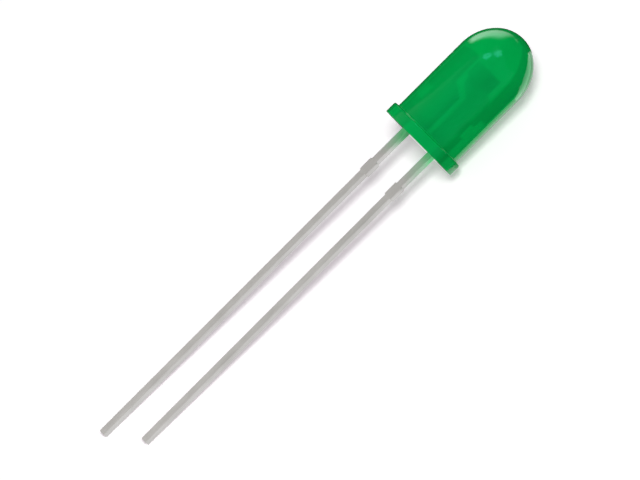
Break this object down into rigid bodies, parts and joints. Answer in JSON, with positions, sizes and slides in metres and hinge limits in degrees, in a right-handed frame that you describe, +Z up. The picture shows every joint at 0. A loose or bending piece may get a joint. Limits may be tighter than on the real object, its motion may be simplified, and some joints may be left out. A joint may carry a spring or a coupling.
{
  "type": "through hole led",
  "caption": "Green tinted resin lens with a domed front, flange and cathode flat, cast round a stamped lead frame with straight square leads.",
  "frame": {"origin": "on the surface it lies on, under the middle of its length and under the lens's axis", "axes": "+X from the lead tips towards the dome, +Y towards the longer anode lead, +Z up from the surface; the lens's axis rises about 5.7 degrees towards the dome"},
  "size_m": [0.0352, 0.0054, 0.0059],
  "materials": {
    "green_resin": "gloss",
    "tinned_steel": "satin",
    "chip": "satin",
    "silver_glue": "satin",
    "gold_wire": "polished"
  },
  "bodies": {
    "root": {"lens": "green_resin", "cathode_lead": "tinned_steel", "anode_lead": "tinned_steel", "led_chip": "chip", "chip_glue": "silver_glue", "bond_wire": "gold_wire"}
  },
  "joints": []
}
